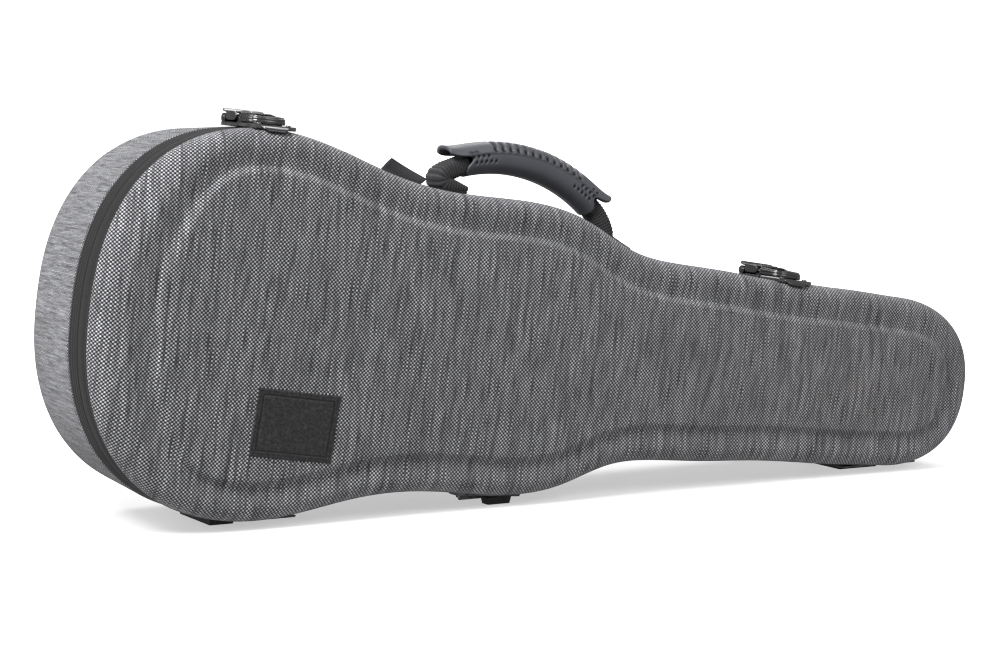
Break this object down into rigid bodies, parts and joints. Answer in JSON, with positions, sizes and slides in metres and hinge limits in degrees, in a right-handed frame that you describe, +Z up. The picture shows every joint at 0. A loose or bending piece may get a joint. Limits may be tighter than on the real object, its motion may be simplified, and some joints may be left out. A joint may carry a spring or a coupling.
{
  "type": "violin case",
  "caption": "Shaped violin case: fabric-covered base and hinged lid, draw latches, moulded carrying handle, plush lining with neck rest and accessory pocket.",
  "frame": {"origin": "centre of the sole of the foot under the lower bout; the floor is z = 0", "axes": "+X along the hinge line towards the neck end, +Y from the lid towards the back of the base, +Z up; the case stands on its hinge side"},
  "size_m": [0.7878, 0.1471, 0.2957],
  "materials": {
    "shell_fabric": "woven melange, matt",
    "band_textile": "ribbed textile tape, matt",
    "seal_rubber": "matt",
    "foot_rubber": "moulded, matt",
    "grip_rubber": "soft moulded, satin",
    "webbing": "ribbed nylon webbing",
    "latch_gunmetal": "polished gunmetal plating",
    "hinge_black": "black, satin",
    "pin_steel": "plain",
    "label_leather": "embossed charcoal leatherette",
    "lining_plush": "soft plush",
    "black_plastic": "moulded"
  },
  "bodies": {
    "base": {"accessory_pocket_divider": "lining_plush", "base_lining": "lining_plush", "base_rim": "band_textile", "base_shell": "shell_fabric", "foot_lower": "foot_rubber", "foot_neck": "foot_rubber", "handle_anchor_1": "black_plastic", "handle_anchor_1_screw_1": "pin_steel", "handle_anchor_1_screw_2": "pin_steel", "handle_anchor_2": "black_plastic", "handle_anchor_2_screw_1": "pin_steel", "handle_anchor_2_screw_2": "pin_steel", "hinge_1_base_leaf": "hinge_black", "hinge_1_pin": "pin_steel", "hinge_2_base_leaf": "hinge_black", "hinge_2_pin": "pin_steel", "hinge_3_base_leaf": "hinge_black", "hinge_3_pin": "pin_steel", "latch_1_base_plate": "latch_gunmetal", "latch_1_lever_pin": "pin_steel", "latch_2_base_plate": "latch_gunmetal", "latch_2_lever_pin": "pin_steel", "neck_rest": "lining_plush", "neck_strap": "webbing", "rim_seal": "seal_rubber", "strap_tab": "webbing"},
    "lid": {"bow_catch_1_boss": "black_plastic", "bow_catch_2_boss": "black_plastic", "bow_tip_pocket_1": "lining_plush", "bow_tip_pocket_2": "lining_plush", "foot_middle": "foot_rubber", "hinge_1_lid_leaf": "hinge_black", "hinge_2_lid_leaf": "hinge_black", "hinge_3_lid_leaf": "hinge_black", "label_patch": "label_leather", "latch_1_keeper": "latch_gunmetal", "latch_2_keeper": "latch_gunmetal", "lid_lining": "lining_plush", "lid_rim": "band_textile", "lid_shell": "shell_fabric"},
    "latch_1_lever": {"latch_1_lever": "latch_gunmetal", "latch_1_bail_pin": "pin_steel"},
    "latch_1_bail": {"latch_1_bail": "latch_gunmetal"},
    "latch_2_lever": {"latch_2_lever": "latch_gunmetal", "latch_2_bail_pin": "pin_steel"},
    "latch_2_bail": {"latch_2_bail": "latch_gunmetal"},
    "handle": {"handle_grip": "grip_rubber", "handle_strap_1": "webbing", "handle_strap_2": "webbing"},
    "pocket_lid": {"accessory_pocket_lid": "lining_plush", "accessory_pocket_pull": "webbing"},
    "bow_catch_1": {"bow_catch_1_button": "black_plastic"},
    "bow_catch_2": {"bow_catch_2_button": "black_plastic"}
  },
  "joints": [
    {"name": "lid_hinge", "type": "hinge", "parent": "base", "child": "lid", "pos_m": [0, -0.028, 0.0054], "axis": [1, 0, 0], "range_deg": [0, 100]},
    {"name": "latch_1_lever_pivot", "type": "hinge", "parent": "base", "child": "latch_1_lever", "pos_m": [0.02487, -0.022, 0.28764], "axis": [0.996, 0, -0.0896], "range_deg": [0, 90]},
    {"name": "latch_1_bail_pivot", "type": "hinge", "parent": "latch_1_lever", "child": "latch_1_bail", "pos_m": [0.02489, -0.014, 0.28784], "axis": [-0.996, 0, 0.0896], "range_deg": [0, 90]},
    {"name": "latch_2_lever_pivot", "type": "hinge", "parent": "base", "child": "latch_2_lever", "pos_m": [0.49066, -0.022, 0.16604], "axis": [0.9901, 0, -0.1404], "range_deg": [0, 90]},
    {"name": "latch_2_bail_pivot", "type": "hinge", "parent": "latch_2_lever", "child": "latch_2_bail", "pos_m": [0.49069, -0.014, 0.16624], "axis": [-0.9901, 0, 0.1404], "range_deg": [0, 90]},
    {"name": "handle_swing", "type": "hinge", "parent": "base", "child": "handle", "pos_m": [0.19423, 0.008, 0.23652], "axis": [0.9557, 0, -0.2943], "range_deg": [-50, 50]},
    {"name": "pocket_lid_hinge", "type": "hinge", "parent": "base", "child": "pocket_lid", "pos_m": [0.53852, 0.0085, 0.0821], "axis": [-0.117, 0, -0.9931], "range_deg": [0, 60]},
    {"name": "bow_catch_1_turn", "type": "hinge", "parent": "lid", "child": "bow_catch_1", "pos_m": [0.00374, -0.028, 0.10685], "axis": [0, 1, 0], "range_deg": [0, 90]},
    {"name": "bow_catch_2_turn", "type": "hinge", "parent": "lid", "child": "bow_catch_2", "pos_m": [0.01264, -0.028, 0.18233], "axis": [0, 1, 0], "range_deg": [0, 90]}
  ],
  "couplings": [
    {"joint": "latch_1_bail_pivot", "follows": "latch_1_lever_pivot", "ratio": 1},
    {"joint": "latch_2_bail_pivot", "follows": "latch_2_lever_pivot", "ratio": 1},
    {"joint": "pocket_lid_hinge", "follows": "lid_hinge", "ratio": 0.6}
  ]
}
